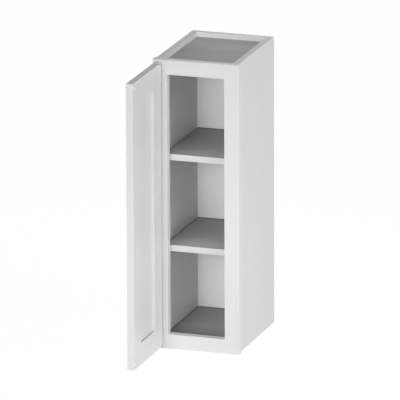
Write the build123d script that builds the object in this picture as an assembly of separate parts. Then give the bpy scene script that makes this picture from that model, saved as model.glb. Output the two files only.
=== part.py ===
from build123d import *
import os

# Narrow framed wall cabinet with one full-overlay shaker door and two shelves.
# Millimetres. +X is right, +Y goes to the wall, +Z is up.
# The origin is the bottom centre of the wall face.

# Whole cabinet
cabinet_width = 228.6
cabinet_height = 762.0
cabinet_depth = 304.8

# Face frame
frame_thickness = 19.05
stile_width = 38.1
rail_width = 38.1
frame_overhang = 4.7625        # the frame stands past the side panel, each side
frame_groove_depth = 5.0       # in the frame's back, takes the front edges of the box
tenon_thickness = 8.0
mortise_stop = 17.6            # wood left outside each mortise
tenon_shoulder = 6.35          # above and below each tenon
mortise_spare = 0.5            # glue room past a tenon's end
frame_edge_radius = 1.0

# Box
side_thickness = 15.875
deck_thickness = 15.875        # top and bottom panels
back_thickness = 12.7
top_recess = 12.7              # from the top edges down to the top panel
bottom_recess = 12.7           # from the bottom edges up to the bottom panel
deck_dado_depth = 6.0
back_rabbet_depth = 8.0

# Shelves and their pins
shelf_thickness = 15.875
shelf_setback = 4.15           # front of the edge band behind the frame's back
shelf_side_gap = 1.6
shelf_back_gap = 1.5
edge_band_thickness = 0.8
pin_diameter = 5.0
pin_length = 8.0
pin_hole_depth = 9.0
pin_slip = 0.05                # round the peg, on the radius
pin_spoon_length = 9.0
pin_spoon_width = 7.0
pin_spoon_thickness = 2.4
pin_spoon_chamfer = 2.0
pin_row_inset = 37.0           # from the frame's back, and from the back panel
pin_hole_pitch = 32.0
pin_holes_each = 3             # heights that each shelf can take

# Door
door_reveal_side = 4.0         # frame left showing past the closed door, each side
door_reveal_end = 6.35         # the same above and below
door_thickness = 18.0
door_gap = 3.0                 # closed door to frame
door_member_width = 57.15      # stiles and rails
door_panel_thickness = 5.5
door_groove_depth = 9.5
door_groove_slip = 0.1         # each side of the panel
door_panel_spare = 1.5         # room for the panel to move, each edge
door_edge_radius = 0.8
door_open_angle = 90.0         # as shown at rest, from closed

# Pivot hinges, let into the top and bottom ends of the door
pivot_from_edge = 8.0          # from the door's hinge edge
pivot_from_face = 4.75         # from the door's outer face
pivot_pin_diameter = 4.0
pivot_pin_reach = 12.0         # below the floor of the notch
pivot_running_slip = 0.05      # pin in bush, on the radius
bush_diameter = 6.0
bush_length = 13.5
bush_flange_diameter = 9.0
bush_flange_thickness = 1.0
bush_bore_spare = 1.0          # bush bore past the pin's end
bracket_width = 9.5
bracket_thickness = 2.4
bracket_leg = 52.0             # down the frame
bracket_bend_radius = 1.2
bracket_slip = 0.1             # round the leg in its housing
thrust_gap_bottom = 0.1        # the door's weight is carried here
thrust_gap_top = 0.4
tab_sink = 0.3                 # tab below the end of the door
notch_slip = 0.3               # round the tab's end in the door's notch

# Bracket screws, staples in the back, buffers
screw_diameter = 3.5
screw_head_diameter = 6.8
screw_length = 12.7
screw_pitch = 24.0
screw_inset = 9.0              # from the leg's free end
staple_crown = 6.35
staple_wire = 1.2
staple_length = 32.0
staple_pitch = 45.0
staples_each = 4               # into each deck
fastener_slip = 0.05           # round each screw and staple
buffer_diameter = 8.0
buffer_clearance = 0.3         # to the frame with the door closed
buffer_inset = 12.0            # from the door's free corners

# Where things lie
left = -cabinet_width / 2
right = cabinet_width / 2
front = -cabinet_depth
frame_back = front + frame_thickness
groove_bottom = frame_back - frame_groove_depth
side_outer = right - frame_overhang
side_inner = side_outer - side_thickness
stile_inner = right - stile_width
back_inner = -back_thickness
top_deck = (cabinet_height - top_recess - deck_thickness, cabinet_height - top_recess)
bottom_deck = (bottom_recess, bottom_recess + deck_thickness)
deck_half_width = side_inner + deck_dado_depth

# The shelves stand at the thirds of the height inside
inside_height = top_deck[0] - bottom_deck[1]
bay_height = (inside_height - 2 * shelf_thickness) / 3
shelf_bottoms = {
    "lower": bottom_deck[1] + bay_height,
    "upper": bottom_deck[1] + 2 * bay_height + shelf_thickness,
}
shelf_half_width = side_inner - shelf_side_gap
shelf_front = frame_back + shelf_setback
shelf_back = back_inner - shelf_back_gap
pin_rows = (frame_back + pin_row_inset, back_inner - pin_row_inset)

# Closed door
door_left = left + door_reveal_side
door_right = right - door_reveal_side
door_width = door_right - door_left
door_inner = front - door_gap
door_outer = door_inner - door_thickness
door_bottom = door_reveal_end
door_top = cabinet_height - door_reveal_end
groove_width = door_panel_thickness + 2 * door_groove_slip
door_middle = (door_inner + door_outer) / 2
pivot_x = door_left + pivot_from_edge
pivot_y = door_outer + pivot_from_face

# Top hinge, from the end of the door down
tab_top = door_top - tab_sink
tab_bottom = tab_top - bracket_thickness
notch_floor = tab_bottom - thrust_gap_top - bush_flange_thickness

same_place = 0.01              # two points closer than this are one


def block(x, y, z):
    """Box between two values on each axis."""
    centre = Pos((x[0] + x[1]) / 2, (y[0] + y[1]) / 2, (z[0] + z[1]) / 2)
    return centre * Box(x[1] - x[0], y[1] - y[0], z[1] - z[0])


def rod(radius, start, direction, length):
    """Cylinder from a start point along a direction."""
    plane = Plane(origin=start, z_dir=direction)
    return extrude(plane * Circle(radius), length)


def flip(solid):
    """The same piece on the other side of the cabinet."""
    return mirror(solid, about=Plane.YZ)


def flip_height(solid):
    """The same piece at the other end of the door's height."""
    middle = Plane(origin=(0, 0, cabinet_height / 2), z_dir=(0, 0, 1))
    return mirror(solid, about=middle)


def bracket_screw(place, slip):
    """Flat-headed screw into the hinge stile, or with a slip the hole that it fills."""
    radius = screw_diameter / 2 + slip
    head = screw_head_diameter / 2 + slip
    length = screw_length + slip
    profile = Polyline(
        (0, 0), (head, 0), (radius, head - radius), (radius, length), (0, length), close=True,
    )
    turned = revolve(Plane.XZ * make_face(profile), Axis.Z)
    return Plane(origin=place, z_dir=(0, 1, 0)) * turned


def staple(place, slip):
    """Staple driven flush with the wall face, or with a slip the cut that it fills."""
    x, y, z = place
    half = staple_crown / 2 + slip
    height = (z - staple_wire / 2 - slip, z + staple_wire / 2 + slip)
    driven = block((x - half, x + half), (y - staple_wire - slip, y), height)
    for side in (-1, 1):
        middle = x + side * (staple_crown - staple_wire) / 2
        driven += block((middle - staple_wire / 2 - slip, middle + staple_wire / 2 + slip),
                        (y - staple_length - slip, y), height)
    return driven


def bracket_screws(slip=0):
    """The two screws of each bracket, or their holes."""
    lowest = door_top - bracket_leg + screw_inset
    heights = [lowest, lowest + screw_pitch]
    heights += [cabinet_height - height for height in heights]
    return [bracket_screw((pivot_x, front, height), slip) for height in heights]


def back_staples(slip=0):
    """Staples through the back into both decks, or their cuts."""
    first = -staple_pitch * (staples_each - 1) / 2
    places = [(first + i * staple_pitch, 0, (deck[0] + deck[1]) / 2)
              for deck in (bottom_deck, top_deck) for i in range(staples_each)]
    return [staple(place, slip) for place in places]


def rail_tenon(z):
    """Right-hand tenon of a rail between two heights."""
    middle = front + frame_thickness / 2
    return block((stile_inner, right - mortise_stop - mortise_spare),
                 (middle - tenon_thickness / 2, middle + tenon_thickness / 2),
                 (z[0] + tenon_shoulder, z[1] - tenon_shoulder))


def rail_mortise(z):
    """Mortise in the right-hand stile for that tenon."""
    middle = front + frame_thickness / 2
    return block((stile_inner, right - mortise_stop),
                 (middle - tenon_thickness / 2, middle + tenon_thickness / 2),
                 (z[0] + tenon_shoulder, z[1] - tenon_shoulder))


bottom_rail_z = (0, rail_width)
top_rail_z = (cabinet_height - rail_width, cabinet_height)


def frame_stile():
    """Right-hand stile of the face frame."""
    stile = block((stile_inner, right), (front, frame_back), (0, cabinet_height))
    stile = fillet(stile.edges().filter_by(Axis.Z).group_by(Axis.Y)[0].sort_by(Axis.X)[-1],
                   frame_edge_radius)
    stile -= block((side_inner, side_outer), (groove_bottom, frame_back), (0, cabinet_height))
    for deck in (bottom_deck, top_deck):
        stile -= block((stile_inner, side_inner), (groove_bottom, frame_back), deck)
    for rail_z in (bottom_rail_z, top_rail_z):
        stile -= rail_mortise(rail_z)
    return stile


def frame_rail(rail_z, deck):
    """Rail with a tenon at each end and the deck's groove behind."""
    rail = block((-stile_inner, stile_inner), (front, frame_back), rail_z)
    rail -= block((-stile_inner, stile_inner), (groove_bottom, frame_back), deck)
    rail += rail_tenon(rail_z)
    rail += flip(rail_tenon(rail_z))
    return rail


def hinge_stile_housings(stile):
    """Housings for the two bracket legs, and their screw holes."""
    half = bracket_width / 2 + bracket_slip
    for housing in (housing_top(half), flip_height(housing_top(half))):
        stile -= housing
    for hole in bracket_screws(fastener_slip):
        stile -= hole
    return stile


def housing_top(half):
    """Shallow housing behind the top of the door."""
    low = door_top - bracket_leg - bracket_slip
    high = tab_top + bracket_slip
    return block((pivot_x - half, pivot_x + half), (front, front + bracket_thickness),
                 (low, high))


def side_panel():
    """Right-hand side, with dados, a rabbet for the back and rows of pin holes."""
    panel = block((side_inner, side_outer), (groove_bottom, 0), (0, cabinet_height))
    for deck in (bottom_deck, top_deck):
        panel -= block((side_inner, deck_half_width), (groove_bottom, back_inner), deck)
    panel -= block((side_inner, side_inner + back_rabbet_depth), (back_inner, 0),
                   (0, cabinet_height))
    for name in shelf_bottoms:
        for row in pin_rows:
            for height in pin_hole_heights(name):
                panel -= rod(pin_diameter / 2 + pin_slip, (side_inner, row, height),
                             (1, 0, 0), pin_hole_depth)
    return panel


def pin_hole_heights(name):
    """Heights of one shelf's pin holes, centred on the one in use."""
    used = shelf_bottoms[name] - pin_diameter / 2
    first = -(pin_holes_each - 1) / 2
    return [used + (first + i) * pin_hole_pitch for i in range(pin_holes_each)]


def deck_panel(deck):
    """Top or bottom panel, let into the sides and the frame."""
    panel = block((-deck_half_width, deck_half_width), (groove_bottom, back_inner), deck)
    for cut in back_staples(fastener_slip):
        panel -= cut
    return panel


def back_panel():
    """Back, in the rabbets of the sides."""
    half = side_inner + back_rabbet_depth
    panel = block((-half, half), (back_inner, 0), (0, cabinet_height))
    for cut in back_staples(fastener_slip):
        panel -= cut
    return panel


def shelf(name):
    """Loose shelf behind its edge band."""
    low = shelf_bottoms[name]
    return block((-shelf_half_width, shelf_half_width),
                 (shelf_front + edge_band_thickness, shelf_back), (low, low + shelf_thickness))


def shelf_edge(name):
    """Edge band on the front of a shelf."""
    low = shelf_bottoms[name]
    return block((-shelf_half_width, shelf_half_width),
                 (shelf_front, shelf_front + edge_band_thickness), (low, low + shelf_thickness))


def shelf_pin(name, row):
    """Spoon pin in the right-hand side, its flat under the shelf."""
    height = shelf_bottoms[name] - pin_diameter / 2
    pin = rod(pin_diameter / 2, (side_inner, row, height), (1, 0, 0), pin_length)
    spoon = block((side_inner - pin_spoon_length, side_inner),
                  (row - pin_spoon_width / 2, row + pin_spoon_width / 2),
                  (shelf_bottoms[name] - pin_spoon_thickness, shelf_bottoms[name]))
    ends = spoon.edges().filter_by(Axis.Z).group_by(Axis.X)[0]
    pin += chamfer(ends, pin_spoon_chamfer)
    return pin


def shelf_pins(name):
    """The four pins of one shelf."""
    pins = []
    for row in pin_rows:
        pin = shelf_pin(name, row)
        pins.append(pin)
        pins.append(flip(pin))
    return pins


def pivot_bracket(under, over):
    """Bent steel strap: leg in the frame, tab in the notched end of the door."""
    low = door_top - bracket_leg
    outline = Polyline(
        (front, low), (front + bracket_thickness, low), (front + bracket_thickness, over),
        (pivot_y - bracket_width, over), (pivot_y - bracket_width, under), (front, under),
        close=True,
    )
    start = Plane(origin=(pivot_x - bracket_width / 2, 0, 0), x_dir=(0, 1, 0), z_dir=(1, 0, 0))
    strap = extrude(start * make_face(outline), bracket_width)
    inner = [e for e in strap.edges().filter_by(Axis.X) if at(e, front, under)]
    strap = fillet(inner, bracket_bend_radius)
    outer = [e for e in strap.edges().filter_by(Axis.X) if at(e, front + bracket_thickness, over)]
    strap = fillet(outer, bracket_bend_radius + bracket_thickness)
    strap &= strap_outline(low, over)
    strap -= rod(pivot_pin_diameter / 2, (pivot_x, pivot_y, under), (0, 0, 1), over - under)
    return strap


def at(edge, y, z):
    """True for an edge through one point seen along X."""
    middle = edge.center()
    return abs(middle.Y - y) < same_place and abs(middle.Z - z) < same_place


def strap_outline(low, high):
    """Plan of the strap, round at the pin."""
    half = bracket_width / 2
    body = block((pivot_x - half, pivot_x + half), (pivot_y, front + bracket_thickness),
                 (low, high))
    return body + rod(half, (pivot_x, pivot_y, low), (0, 0, 1), high - low)


def top_bracket():
    """Bracket at the top, with its screw holes."""
    strap = pivot_bracket(tab_bottom, tab_top)
    for hole in bracket_screws(fastener_slip):
        strap -= hole
    return strap


def bottom_bracket(lift):
    """Bracket at the bottom, its tab closer to the door than at the top."""
    strap = flip_height(pivot_bracket(tab_bottom - lift, tab_top - lift))
    for hole in bracket_screws(fastener_slip):
        strap -= hole
    return strap


def pivot_pin():
    """Pin riveted flush in the tab, down into the door's bush."""
    end = notch_floor - pivot_pin_reach
    return rod(pivot_pin_diameter / 2, (pivot_x, pivot_y, end), (0, 0, 1), tab_top - end)


def pivot_bush():
    """Flanged bush in the floor of the top notch."""
    bush = rod(bush_diameter / 2, (pivot_x, pivot_y, notch_floor), (0, 0, -1), bush_length)
    bush += rod(bush_flange_diameter / 2, (pivot_x, pivot_y, notch_floor), (0, 0, 1),
                bush_flange_thickness)
    bore = pivot_pin_reach + bush_bore_spare + bush_flange_thickness
    bush -= rod(pivot_pin_diameter / 2 + pivot_running_slip,
                (pivot_x, pivot_y, notch_floor + bush_flange_thickness), (0, 0, -1), bore)
    return bush


def hinge_notch():
    """Notch in the top end of the closed door that the tab turns in, and the bush's hole."""
    wall = pivot_x + bracket_width / 2 + notch_slip
    notch = block((door_left, wall), (door_outer, door_inner), (notch_floor, door_top))
    return notch + rod(bush_diameter / 2, (pivot_x, pivot_y, notch_floor), (0, 0, -1), bush_length)


def door_stile():
    """Hinge-side stile of the closed door, grooved for panel and rails."""
    inner_edge = door_left + door_member_width
    stile = block((door_left, inner_edge), (door_outer, door_inner), (door_bottom, door_top))
    long_edges = stile.edges().filter_by(Axis.Z).group_by(Axis.X)[0]
    end_edges = stile.edges().filter_by(Axis.X)
    stile = fillet(long_edges + end_edges, door_edge_radius)
    stile -= block((inner_edge - door_groove_depth, inner_edge),
                   (door_middle - groove_width / 2, door_middle + groove_width / 2),
                   (door_bottom, door_top))
    return stile


def hinge_stile():
    """Hinge-side stile with the notches and sockets of both hinges."""
    return door_stile() - hinge_notch() - flip_height(hinge_notch())


def door_rail():
    """Top rail of the closed door, tongued at both ends and grooved for the panel."""
    half = door_width / 2 - door_member_width
    low = door_top - door_member_width
    rail = block((-half, half), (door_outer, door_inner), (low, door_top))
    top_edges = rail.edges().filter_by(Axis.X).group_by(Axis.Z)[-1]
    rail = fillet(top_edges, door_edge_radius)
    tongue = (door_middle - groove_width / 2, door_middle + groove_width / 2)
    reach = half + door_groove_depth - door_groove_slip
    rail += block((-reach, reach), tongue, (low, door_top - door_edge_radius))
    rail -= block((-reach, reach), tongue, (low, low + door_groove_depth))
    return rail


def door_panel():
    """Flat panel, floating in the grooves."""
    reach = door_groove_depth - door_panel_spare
    half = door_width / 2 - door_member_width + reach
    return block((-half, half),
                 (door_middle - door_panel_thickness / 2, door_middle + door_panel_thickness / 2),
                 (door_bottom + door_member_width - reach, door_top - door_member_width + reach))


def door_buffers():
    """Two soft buffers on the free corners of the door's inner face."""
    buffers = []
    height = door_gap - buffer_clearance
    for level in (door_bottom + buffer_inset, door_top - buffer_inset):
        buffers.append(rod(buffer_diameter / 2, (door_right - buffer_inset, door_inner, level),
                           (0, 1, 0), height))
    return buffers


def opened(solid):
    """Swing a piece of the closed door to where the door stands at rest."""
    swing = Pos(pivot_x, pivot_y, 0) * Rot(0, 0, -door_open_angle) * Pos(-pivot_x, -pivot_y, 0)
    return swing * solid


def write(name, pieces):
    """One STEP file for one node; a list of pieces stays separate solids."""
    if isinstance(pieces, list):
        pieces = Compound(children=[Compound(p.solids()) for p in pieces])
    export_step(pieces, f"parts/{name}.step")


def main():
    os.makedirs("parts", exist_ok=True)

    write("frame_stile_left", hinge_stile_housings(flip(frame_stile())))
    write("frame_stile_right", frame_stile())
    write("frame_rail_top", frame_rail(top_rail_z, top_deck))
    write("frame_rail_bottom", frame_rail(bottom_rail_z, bottom_deck))

    write("side_panel_left", flip(side_panel()))
    write("side_panel_right", side_panel())
    write("top_panel", deck_panel(top_deck))
    write("bottom_panel", deck_panel(bottom_deck))
    write("back_panel", back_panel())
    write("back_staples", back_staples())

    for name in shelf_bottoms:
        write(f"shelf_{name}", shelf(name))
        write(f"shelf_edge_{name}", shelf_edge(name))
        write(f"shelf_pins_{name}", shelf_pins(name))

    # The bottom hinge is the top one turned over, but set closer, so it carries the door.
    lift = thrust_gap_top - thrust_gap_bottom
    write("pivot_bracket_top", top_bracket())
    write("pivot_bracket_bottom", bottom_bracket(lift))
    write("pivot_pin_top", pivot_pin())
    write("pivot_pin_bottom", Pos(0, 0, lift) * flip_height(pivot_pin()))
    write("bracket_screws", bracket_screws())

    write("door_stile_hinge", opened(hinge_stile()))
    write("door_stile_latch", opened(flip(door_stile())))
    write("door_rail_top", opened(door_rail()))
    write("door_rail_bottom", opened(flip_height(door_rail())))
    write("door_panel", opened(door_panel()))
    write("pivot_bush_top", opened(pivot_bush()))
    write("pivot_bush_bottom", opened(flip_height(pivot_bush())))
    write("door_buffers", [opened(pad) for pad in door_buffers()])


main()
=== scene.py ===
import math

import bmesh
import bpy
from mathutils import Matrix, Vector


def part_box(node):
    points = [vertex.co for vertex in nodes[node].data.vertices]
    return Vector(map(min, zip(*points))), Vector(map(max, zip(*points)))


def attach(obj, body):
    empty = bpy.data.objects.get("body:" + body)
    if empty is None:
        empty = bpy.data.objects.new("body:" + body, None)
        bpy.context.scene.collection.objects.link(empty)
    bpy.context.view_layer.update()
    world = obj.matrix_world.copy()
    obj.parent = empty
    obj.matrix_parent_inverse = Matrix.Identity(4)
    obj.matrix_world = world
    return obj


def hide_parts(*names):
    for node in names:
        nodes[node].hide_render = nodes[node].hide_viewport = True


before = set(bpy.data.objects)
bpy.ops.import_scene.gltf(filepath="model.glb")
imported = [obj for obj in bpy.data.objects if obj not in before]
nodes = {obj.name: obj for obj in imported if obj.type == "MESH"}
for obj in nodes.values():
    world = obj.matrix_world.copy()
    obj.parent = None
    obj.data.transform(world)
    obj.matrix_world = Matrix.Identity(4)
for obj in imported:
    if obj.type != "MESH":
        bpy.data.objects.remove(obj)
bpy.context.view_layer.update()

print("frame loaded:", len(nodes), "nodes")


class Wire:
    # a socket in a shader tree, so that sums on sockets read as sums
    def __init__(self, tree, socket=None):
        self.tree = tree
        self.socket = socket

    def node(self, kind, settings=None, inputs=None, out=0):
        made = self.tree.nodes.new(kind)
        for name, value in (settings or {}).items():
            if name == "stops":
                fillRamp(made.color_ramp, value)
            else:
                setattr(made, name, value)
        for name, value in (inputs or {}).items():
            if isinstance(value, Wire):
                self.tree.links.new(value.socket, made.inputs[name])
            else:
                made.inputs[name].default_value = value
        return Wire(self.tree, made.outputs[out])

    def sum(self, operation, first, second=0.0):
        return self.node("ShaderNodeMath", {"operation": operation}, {0: first, 1: second})

    def __add__(self, other):
        return self.sum("ADD", self, other)

    def __radd__(self, other):
        return self.sum("ADD", other, self)

    def __sub__(self, other):
        return self.sum("SUBTRACT", self, other)

    def __rsub__(self, other):
        return self.sum("SUBTRACT", other, self)

    def __mul__(self, other):
        return self.sum("MULTIPLY", self, other)

    def __rmul__(self, other):
        return self.sum("MULTIPLY", other, self)

    def __lt__(self, other):
        return self.sum("LESS_THAN", self, other)

    def __gt__(self, other):
        return self.sum("GREATER_THAN", self, other)

    def __abs__(self):
        return self.sum("ABSOLUTE", self)


def fillRamp(ramp, stops):
    while len(ramp.elements) < len(stops):
        ramp.elements.new(1.0)
    for element, (place, level) in zip(ramp.elements, stops):
        element.position = place
        element.color = (level, level, level, 1)


def newMaterial(name):
    material = bpy.data.materials.new(name)
    material.use_nodes = True
    material.node_tree.nodes.clear()
    return material, Wire(material.node_tree)


def finish(wire, shader, kind="ShaderNodeOutputMaterial"):
    out = wire.tree.nodes.new(kind)
    wire.tree.links.new(shader.socket, out.inputs["Surface"])


def grey(level):
    return (level, level, level, 1)


def objectPlace(wire, stretch=(1, 1, 1)):
    place = wire.node("ShaderNodeTexCoord", out="Object")
    return wire.node("ShaderNodeMapping", {}, {"Vector": place, "Scale": stretch})


def noise(wire, place, scale, detail=2.0, roughness=0.5):
    return wire.node("ShaderNodeTexNoise", {}, {
        "Vector": place, "Scale": scale, "Detail": detail, "Roughness": roughness}, out="Fac")


def mixed(wire, share, under, over):
    # one colour over another
    return wire.node("ShaderNodeMix", {"data_type": "RGBA"}, {0: share, 6: under, 7: over}, out=2)


def tint(wire, share, first, second):
    # colour between two greys
    return mixed(wire, share, grey(first), grey(second))


def bump(wire, height, depth, under=None):
    inputs = {"Height": height, "Distance": depth, "Strength": 1.0}
    if under:
        inputs["Normal"] = under
    return wire.node("ShaderNodeBump", {}, inputs)


def ramp(wire, value, start, end):
    # 0 at start, 1 at end and beyond
    return wire.node("ShaderNodeMapRange", {}, {
        "Value": value, "From Min": start, "From Max": end}, out="Result")


def split(wire, vector, axis):
    return wire.node("ShaderNodeSeparateXYZ", {}, {"Vector": vector}, out=axis)


def alongGrain(wire, along, stretch):
    # a pattern drawn out along one axis, or along none
    return objectPlace(wire, tuple(stretch if axis == along else 1.0 for axis in "xyz"))


# satin paint over wood: orange peel all over, a little of the grain along each member, and painted
# shade darkening what faces up, strongest on the door
paintLook = {
    "swing": 0.015, "cloud": 14.0, "cloudShare": 0.7, "rough": 0.40, "roughSwing": 0.12,
    "peel": 520.0, "peelDepth": 0.00003, "grain": 260.0, "grainDepth": 0.00004, "stretch": 0.03,
    # the grey and its mottle for the painted shade on what faces up
    "paintedShading": 0.36, "upShadePatch": 60.0, "upShadeLeast": 0.8, "upShadeSwing": 0.4, "upward": 0.7,
}
paintKinds = {
    # the door's paint is set a little paler than the frame's, as painted light on its edges
    "door": {"level": 0.82, "upShadeShare": 0.50},
    "frame": {"level": 0.80, "upShadeShare": 0.08},
}


def paint(name, along, kind):
    look = paintLook
    level, upShadeShare = paintKinds[kind]["level"], paintKinds[kind]["upShadeShare"]
    material, wire = newMaterial(name)
    place = objectPlace(wire)
    cloud = noise(wire, place, look["cloud"], detail=3.0)
    peel = noise(wire, place, look["peel"])
    grain = noise(wire, alongGrain(wire, along, look["stretch"]), look["grain"],
                  detail=4.0, roughness=0.6)
    relief = bump(wire, peel, look["peelDepth"], bump(wire, grain, look["grainDepth"]))
    share = cloud * look["cloudShare"] + grain * (1 - look["cloudShare"])
    ownTone = tint(wire, share, level - look["swing"], level + look["swing"])
    # painted shade on what faces up, mottled
    faceUp = split(wire, wire.node("ShaderNodeNewGeometry", out="Normal"), "Z") > look["upward"]
    patch = look["upShadeLeast"] + look["upShadeSwing"] * noise(wire, place, look["upShadePatch"])
    finish(wire, wire.node("ShaderNodeBsdfPrincipled", {}, {
        "Base Color": mixed(wire, faceUp * patch * upShadeShare, ownTone, grey(look["paintedShading"])),
        "Roughness": look["rough"] + (cloud - 0.5) * look["roughSwing"],
        "Normal": relief,
    }))
    return material


# faced boards: fine pores along the grain, matter than the paint
boardLook = {
    "swing": 0.025, "cloud": 9.0, "rough": 0.55, "roughSwing": 0.12,
    "pore": 420.0, "poreDepth": 0.00005, "stretch": 0.05,
}
# inside is a darker tone, painted shade on the sides' inner faces within the cabinet
facing = {"outside": 0.788, "inside": 0.58, "back": 0.89}


def boardPore(wire, along):
    return noise(wire, alongGrain(wire, along, boardLook["stretch"]), boardLook["pore"],
                 detail=4.0, roughness=0.65)


def finishBoard(wire, colour, pore):
    finish(wire, wire.node("ShaderNodeBsdfPrincipled", {}, {
        "Base Color": colour,
        "Roughness": boardLook["rough"] + (pore - 0.5) * boardLook["roughSwing"],
        "Normal": bump(wire, pore, boardLook["poreDepth"]),
    }))


def betweenDecks(wire):
    # 1 on the sides' inner faces from deck to deck, which take a darker tone as painted shade
    # inside the cabinet
    place = objectPlace(wire)
    across = split(wire, place, "X")
    height = split(wire, place, "Z")
    skin = 0.0005
    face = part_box("side_panel_right")[0].x + skin
    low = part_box("bottom_panel")[1].z - skin
    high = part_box("top_panel")[0].z + skin
    return (abs(across) < face) * (height > low) * (height < high)


def board(name, level, innerShadeLevel=None):
    swing = boardLook["swing"]
    material, wire = newMaterial(name)
    pore = boardPore(wire, "z")
    share = (noise(wire, objectPlace(wire), boardLook["cloud"], detail=3.0) + pore) * 0.5
    colour = tint(wire, share, level - swing, level + swing)
    # the inner faces between the decks take a darker tone, as painted shade inside the cabinet
    if innerShadeLevel:
        inner = tint(wire, share, innerShadeLevel - swing, innerShadeLevel + swing)
        colour = mixed(wire, betweenDecks(wire), colour, inner)
    finishBoard(wire, colour, pore)
    return material


# decks: the board's own grey, darker towards the rear as painted shade, with painted shade where
# they meet the cabinet's walls and back
deckLook = {"paintedShade": 0.09, "deckShadeLeast": 0.7, "deckShadeSwing": 0.4, "patch": 70.0, "mottle": 0.3}
deckShading = {
    "shelf_upper": {"front": 0.385, "rear": 0.245, "ends": 0.004, "back": 0.018},
    "shelf_lower": {"front": 0.42, "rear": 0.31, "ends": 0.004, "back": 0.018},
    "bottom_panel": {"front": 0.40, "rear": 0.28, "ends": 0.008, "back": 0.016,
                     "lip": {"fade": 0.120, "full": 0.050, "share": 0.70}},
}


def deckBoard(name, node):
    look = deckLook
    shadeMarks = deckShading[node]
    low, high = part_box(node)
    half = min(high.x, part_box("side_panel_right")[0].x)
    material, wire = newMaterial(name)
    place = objectPlace(wire)
    across = abs(split(wire, place, "X"))
    along = split(wire, place, "Y")
    pore = boardPore(wire, "x")
    patch = noise(wire, place, look["patch"], detail=3.0)
    # painted light towards the front and painted shade towards the rear, with a random mottle
    frontLit = ramp(wire, along, high.y, low.y) + (pore + patch - 1.0) * look["mottle"]
    # painted shade along the ends and the back, where the decks meet the walls
    ends = ramp(wire, across, half - shadeMarks["ends"], half)
    paintedShade = wire.sum("MAXIMUM", ends, ramp(wire, along, high.y - shadeMarks["back"], high.y))
    if "lip" in shadeMarks:
        # painted shadow of the bottom rail's lip, darkest just behind it
        lip = shadeMarks["lip"]
        shade = ramp(wire, along, low.y + lip["fade"], low.y + lip["full"]) * lip["share"]
        paintedShade = wire.sum("MAXIMUM", paintedShade, shade)
    paintedShade = paintedShade * (look["deckShadeLeast"] + look["deckShadeSwing"] * patch)
    colour = tint(wire, frontLit, shadeMarks["rear"], shadeMarks["front"])
    finishBoard(wire, mixed(wire, paintedShade, colour, grey(look["paintedShade"])), pore)
    return material


# the top: a grey board, made paler along the back as painted light against the back panel's shadow
topLook = {"ownTone": 0.37, "paintedShading": 0.59, "lightStarts": 0.125, "lightFull": 0.045, "share": 0.9,
           "patch": 60.0, "mottle": 0.3}


def topBoard(name):
    look = topLook
    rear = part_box("top_panel")[1].y
    material, wire = newMaterial(name)
    place = objectPlace(wire)
    pore = boardPore(wire, "x")
    patch = noise(wire, place, look["patch"], detail=3.0)
    # painted light along the back edge, mottled
    paintedShading = ramp(wire, split(wire, place, "Y"), rear - look["lightStarts"], rear - look["lightFull"])
    share = paintedShading * look["share"] + (pore + patch - 1.0) * look["mottle"]
    finishBoard(wire, tint(wire, share, look["ownTone"], look["paintedShading"]), pore)
    return material


# small parts: a colour that drifts, a fine skin and an uneven gloss
smallLooks = {
    # the edge band is set darker than the paint, as painted shade on the shelf fronts set back in
    # the opening
    "edgeBandShaded": {"level": 0.73, "swing": 0.02, "rough": 0.42, "roughSwing": 0.10,
                 "scale": 900.0, "depth": 0.00002, "metal": 0.0, "along": "x"},
    "coatedSteel": {"level": 0.78, "swing": 0.02, "rough": 0.50, "roughSwing": 0.08,
                    "scale": 2600.0, "depth": 0.00003, "metal": 0.0, "along": None},
    "zincPlate": {"level": 0.60, "swing": 0.07, "rough": 0.34, "roughSwing": 0.18,
                  "scale": 1500.0, "depth": 0.00001, "metal": 1.0, "along": None},
    "nylon": {"level": 0.82, "swing": 0.02, "rough": 0.38, "roughSwing": 0.10,
              "scale": 1200.0, "depth": 0.00001, "metal": 0.0, "along": None},
    "softPlastic": {"level": 0.83, "swing": 0.01, "rough": 0.34, "roughSwing": 0.08,
                    "scale": 1000.0, "depth": 0.00001, "metal": 0.0, "along": None},
}
skinStretch = 0.05
cloudScale = 0.15  # against the skin's scale


def small(name):
    look = smallLooks[name]
    material, wire = newMaterial(name)
    skin = noise(wire, alongGrain(wire, look["along"], skinStretch), look["scale"], detail=3.0)
    cloud = noise(wire, objectPlace(wire), look["scale"] * cloudScale)
    finish(wire, wire.node("ShaderNodeBsdfPrincipled", {}, {
        "Base Color": tint(wire, cloud, look["level"] - look["swing"],
                           look["level"] + look["swing"]),
        "Roughness": look["rough"] + (cloud - 0.5) * look["roughSwing"],
        "Metallic": look["metal"],
        "Normal": bump(wire, skin, look["depth"]),
    }))
    return material


def dress(names, material):
    for name in names:
        for slot in nodes[name].material_slots:
            slot.material = material


dress(["frame_stile_left", "frame_stile_right"], paint("paintStile", "z", "frame"))
dress(["frame_rail_top", "frame_rail_bottom"], paint("paintRail", "x", "frame"))
dress(["door_stile_hinge", "door_stile_latch", "door_panel"], paint("paintDoor", "z", "door"))
dress(["door_rail_top", "door_rail_bottom"], paint("paintDoorRail", "y", "door"))
dress(["side_panel_left", "side_panel_right"],
      board("sideBoard", facing["outside"], facing["inside"]))
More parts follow.
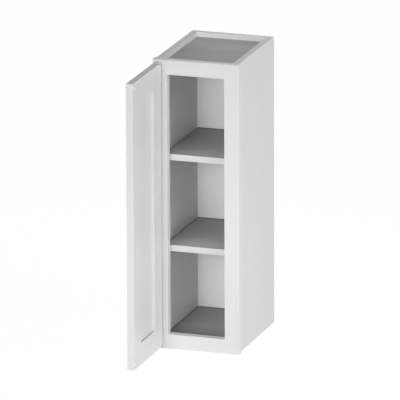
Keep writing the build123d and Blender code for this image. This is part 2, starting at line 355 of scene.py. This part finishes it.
# the back panel's board is set paler than the sides, as painted light on its inner face
dress(["back_panel"], board("backBoard", facing["back"]))
dress(["top_panel"], topBoard("topBoard"))
dress(["shelf_lower"], deckBoard("lowerShelf", "shelf_lower"))
dress(["shelf_upper"], deckBoard("upperShelf", "shelf_upper"))
dress(["bottom_panel"], deckBoard("cabinetFloor", "bottom_panel"))
dress(["shelf_edge_lower", "shelf_edge_upper"], small("edgeBandShaded"))
dress(["pivot_bracket_top", "pivot_bracket_bottom"], small("coatedSteel"))
zincPlate = small("zincPlate")
dress(["pivot_pin_top", "pivot_pin_bottom", "back_staples", "shelf_pins_lower",
       "shelf_pins_upper"], zincPlate)
dress(["pivot_bush_top", "pivot_bush_bottom"], small("nylon"))
print("finishes laid on")


leastRadius = 1e-7  # a smaller ring is one point
sharpFrom = 35


def levels(node, gap=0.004):
    # the separate solids of one node, from the lowest up, as (lowest, highest)
    heights = sorted(vertex.co.z for vertex in nodes[node].data.vertices)
    found = [[heights[0], heights[0]]]
    for height in heights:
        if height - found[-1][1] > gap:
            found.append([height, height])
        found[-1][1] = height
    return found


def bridge(mesh, first, second):
    # a band of faces between two loops; either loop may be one corner repeated
    for here in range(len(first)):
        corners = [first[here - 1], second[here - 1], second[here], first[here]]
        mesh.faces.new(list(dict.fromkeys(corners)))


def fillBetween(mesh, outer, inner):
    # a flat ring of triangles between two loops round Z, in the order of their turns
    def turnOf(corner):
        return round(math.atan2(corner.co.y, corner.co.x) % math.tau, 6)

    last = [max(outer, key=turnOf), max(inner, key=turnOf)]
    for corner in sorted(outer + inner, key=turnOf):
        side = 0 if corner in outer else 1
        mesh.faces.new([last[side], corner, last[1 - side]])
        last[side] = corner


def turned(outline, steps):
    # turns an outline of (radius, height) pairs once round Z
    mesh = bmesh.new()
    turns = [math.tau * step / steps for step in range(steps)]
    rings = []
    for radius, height in outline:
        if radius > leastRadius:
            rings.append([mesh.verts.new((radius * math.cos(turn), radius * math.sin(turn), height))
                          for turn in turns])
        else:
            rings.append([mesh.verts.new((0, 0, height))] * steps)
    for first, second in zip(rings, rings[1:]):
        bridge(mesh, first, second)
    return mesh


def laidOut(parts):
    # one mesh from copies of small ones, each with its own place
    whole = bmesh.new()
    for mesh, place in parts:
        data = bpy.data.meshes.new("part")
        mesh.to_mesh(data)
        data.transform(place)
        whole.from_mesh(data)
        bpy.data.meshes.remove(data)
    bmesh.ops.recalc_face_normals(whole, faces=whole.faces[:])
    return whole


def standsFor(name, mesh, material, body, node):
    data = bpy.data.meshes.new(name)
    mesh.to_mesh(data)
    mesh.free()
    data.materials.append(material)
    data.shade_smooth()
    data.set_sharp_from_angle(angle=math.radians(sharpFrom))
    made = bpy.data.objects.new(name, data)
    bpy.context.scene.collection.objects.link(made)
    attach(made, body)
    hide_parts(node)


# stick-on bumpers on the door's free corners: a foot, and a low dome set in from its rim
bufferLook = {"steps": 32, "foot": 0.0004, "setIn": 0.00027, "arc": 10}


def makeBuffers():
    look = bufferLook
    low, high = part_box("door_buffers")
    radius = (high.y - low.y) / 2
    height = high.x - low.x
    outline = [(0, 0), (radius, 0), (radius, look["foot"])]
    for step in range(look["arc"] + 1):
        turn = math.radians(90) * step / look["arc"]
        outline.append(((radius - look["setIn"]) * math.cos(turn),
                        look["foot"] + (height - look["foot"]) * math.sin(turn)))
    dome = turned(outline, look["steps"])
    outwards = Matrix.Rotation(math.radians(90), 4, "Y")
    parts = []
    for bottom, top in levels("door_buffers"):
        centre = Vector((low.x, (low.y + high.y) / 2, (bottom + top) / 2))
        parts.append((dome, Matrix.Translation(centre) @ outwards))
    standsFor("doorBumpers", laidOut(parts), small("softPlastic"), "door",
              "door_buffers")
    dome.free()


# flat-headed screws: crossed recess, bare neck, ringed thread and a point
screwLook = {
    "steps": 24, "flare": 0.00165, "neck": 0.0040, "core": 0.0012, "pitch": 0.0013,
    "root": 0.3, "crest": 0.8, "point": 0.0020, "rim": 0.0021, "arm": 0.00045,
    "reach": 0.0018, "sink": 0.0014, "draft": 0.7, "stray": 0.7,
}


def makeScrews():
    look = screwLook
    low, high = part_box("bracket_screws")
    head = (high.x - low.x) / 2
    length = high.y - low.y
    shank = head - look["flare"]
    outline = [(look["rim"], 0), (head, 0), (shank, -look["flare"]), (shank, -look["neck"])]
    down = look["neck"]
    while down < length - look["point"]:
        outline += [(look["core"], -down - look["pitch"] * look["root"]),
                    (shank, -down - look["pitch"] * look["crest"])]
        down += look["pitch"]
    outline.append((0, -length))
    screw = turned(outline, look["steps"])
    rim = [corner for corner in screw.verts if corner.is_boundary]
    arm, reach = look["arm"], look["reach"]
    cross, sunk = [], []
    for quarter in range(4):
        spin = Matrix.Rotation(math.radians(90) * quarter, 4, "Z")
        for x, y in [(reach, -arm), (reach, arm), (arm, arm)]:
            corner = spin @ Vector((x, y, 0))
            cross.append(screw.verts.new(corner))
            sunk.append(screw.verts.new(corner * look["draft"] - Vector((0, 0, look["sink"]))))
    fillBetween(screw, rim, cross)
    bridge(screw, cross, sunk)
    middle = sunk[2::3]
    screw.faces.new(middle)
    for quarter in range(4):
        tip = sunk[3 * quarter:3 * quarter + 2]
        screw.faces.new([middle[quarter - 1]] + tip + [middle[quarter]])
    forwards = Matrix.Rotation(math.radians(90), 4, "X")
    parts = []
    for count, (bottom, top) in enumerate(levels("bracket_screws")):
        centre = Vector(((low.x + high.x) / 2, low.y, (bottom + top) / 2))
        stray = Matrix.Rotation(look["stray"] * count, 4, "Z")
        parts.append((screw, Matrix.Translation(centre) @ forwards @ stray))
    standsFor("bracketScrews", laidOut(parts), zincPlate, "cabinet",
              "bracket_screws")
    screw.free()


makeBuffers()
makeScrews()
print("bumpers and screws made")

floorLook = {"half": 8.0, "level": 0.8, "seen": 1.05, "share": 0.92}


def seenRay(wire):
    # 1 on the rays that show the background, straight or in gloss
    straight = wire.node("ShaderNodeLightPath", out="Is Camera Ray")
    gloss = wire.node("ShaderNodeLightPath", out="Is Glossy Ray")
    return straight + gloss


def makeFloor():
    mesh = bpy.data.meshes.new("floor")
    sheet = bmesh.new()
    bmesh.ops.create_grid(sheet, x_segments=1, y_segments=1, size=floorLook["half"])
    sheet.to_mesh(mesh)
    sheet.free()
    made = bpy.data.objects.new("floor", mesh)
    bpy.context.scene.collection.objects.link(made)
    material, wire = newMaterial("paleFloor")
    matte = wire.node("ShaderNodeBsdfDiffuse", {}, {"Color": grey(floorLook["level"])})
    glow = wire.node("ShaderNodeEmission", {}, {"Color": grey(1.0), "Strength": floorLook["seen"]})
    finish(wire, wire.node("ShaderNodeMixShader", {}, {
        "Fac": seenRay(wire) * floorLook["share"], 1: matte, 2: glow}))
    mesh.materials.append(material)


makeFloor()

# a studio's pale walls and ceiling: brightness by height, from the floor's level up
skyStops = [(0.0, 0.06), (0.4, 0.30), (1.0, 0.10)]


def makeSky():
    world = bpy.data.worlds.new("studio")
    world.use_nodes = True
    world.node_tree.nodes.clear()
    bpy.context.scene.world = world
    wire = Wire(world.node_tree)
    ray = seenRay(wire)
    direction = wire.node("ShaderNodeTexCoord", out="Generated")
    pale = wire.node("ShaderNodeValToRGB", {"stops": skyStops}, {
        "Fac": split(wire, direction, "Z")})
    level = ray + (1 - ray) * pale
    finish(wire, wire.node("ShaderNodeBackground", {}, {"Color": grey(1.0), "Strength": level}),
           "ShaderNodeOutputWorld")


makeSky()


def wayTo(turn, rise):
    # the way out from the cabinet, by the turn from its front and the rise, in degrees
    turn, rise = math.radians(turn), math.radians(rise)
    return Vector((math.sin(turn) * math.cos(rise), -math.cos(turn) * math.cos(rise),
                   math.sin(rise)))


# soft boxes, each by its turn from the front, its rise and how far away it stands
lampTarget = Vector((0, -0.18, 0.35))
lamps = {
    "front": {"turn": 0, "rise": 15, "away": 7.0, "size": (2.4, 1.8), "power": 158.0},
    "frontHigh": {"turn": 10, "rise": 50, "away": 7.0, "size": (2.4, 1.8), "power": 4.0},
    "side": {"turn": 72, "rise": 13, "away": 7.0, "size": (2.4, 1.8), "power": 158.0},
    "frontFloor": {"turn": 15, "rise": -15, "away": 1.0, "size": (1.2, 0.15), "power": 1.2},
    "sideFloor": {"turn": 70, "rise": -15, "away": 1.0, "size": (1.2, 0.15), "power": 1.4},
    "rim": {"turn": 180, "rise": 25, "away": 1.3, "size": (0.8, 0.3), "power": 2.5},
    "left": {"turn": -100, "rise": 12, "away": 7.0, "size": (2.4, 1.8), "power": 150.0},
    "behind": {"turn": 170, "rise": 6, "away": 7.0, "size": (2.4, 1.0), "power": 50.0},
}


def makeLamp(name, place, target, size, power, spread=180):
    light = bpy.data.lights.new(name, "AREA")
    light.shape = "RECTANGLE"
    light.size, light.size_y = size
    light.energy = power
    light.spread = math.radians(spread)
    made = bpy.data.objects.new(name, light)
    bpy.context.scene.collection.objects.link(made)
    made.location = place
    made.rotation_euler = (target - place).to_track_quat("-Z", "Y").to_euler()
    made.visible_camera = False


def setLamps():
    for name, look in lamps.items():
        place = lampTarget + wayTo(look["turn"], look["rise"]) * look["away"]
        makeLamp(name, place, lampTarget, look["size"], look["power"])


# faint fills stand in each opening, clear of the closed door, because little of the soft
# boxes' light gets inside: a tall sheet and a low strip, by their share of the opening's height
fillLook = {
    "spread": 125,
    "sheet": {"height": 0.5, "inside": -0.290, "size": (0.148, 0.19)},
    "strip": {"height": 0.15, "inside": -0.294, "size": (0.148, 0.05)},
}
fillPowers = {
    "bottom_panel": {"sheet": 0.0415, "strip": 0.0241},
    "shelf_lower": {"sheet": 0.0214, "strip": 0.0337},
    "shelf_upper": {"sheet": 0.0137, "strip": 0.0327},
}


def setFills():
    decks = ["bottom_panel", "shelf_lower", "shelf_upper", "top_panel"]
    for below, above in zip(decks, decks[1:]):
        low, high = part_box(below)[1].z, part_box(above)[0].z
        for kind, power in fillPowers[below].items():
            look = fillLook[kind]
            place = Vector((0, look["inside"], low + (high - low) * look["height"]))
            makeLamp(kind + "_" + below, place, place + Vector((0, 1, 0)),
                     look["size"], power, fillLook["spread"])


setLamps()
setFills()
print("floor, sky and lamps ready")

cameraLook = {
    "azimuth": 18.612, "elevation": 15.870, "roll": -0.207,
    "distance": 19.003, "lens": 668.99, "sensor": 36, "farthest": 200,
    "middle": (0, -0.1524, 0.381), "aimRight": -0.03826, "aimUp": -0.02064,
}


def makeCamera():
    look = cameraLook
    roll = math.radians(look["roll"])
    back = wayTo(look["azimuth"], look["elevation"])
    right = Vector((0, 0, 1)).cross(back).normalized()
    up = back.cross(right)
    aim = Vector(look["middle"]) + right * look["aimRight"] + up * look["aimUp"]
    camera = bpy.data.cameras.new("camera")
    camera.lens = look["lens"]
    camera.sensor_width = look["sensor"]
    camera.clip_end = look["farthest"]
    made = bpy.data.objects.new("camera", camera)
    bpy.context.scene.collection.objects.link(made)
    rolledRight = right * math.cos(roll) + up * math.sin(roll)
    rolledUp = up * math.cos(roll) - right * math.sin(roll)
    axes = Matrix((rolledRight, rolledUp, back)).transposed()
    made.matrix_world = Matrix.Translation(aim + back * look["distance"]) @ axes.to_4x4()
    bpy.context.scene.camera = made


makeCamera()
bpy.context.scene.view_settings.view_transform = "Standard"
print("camera set")
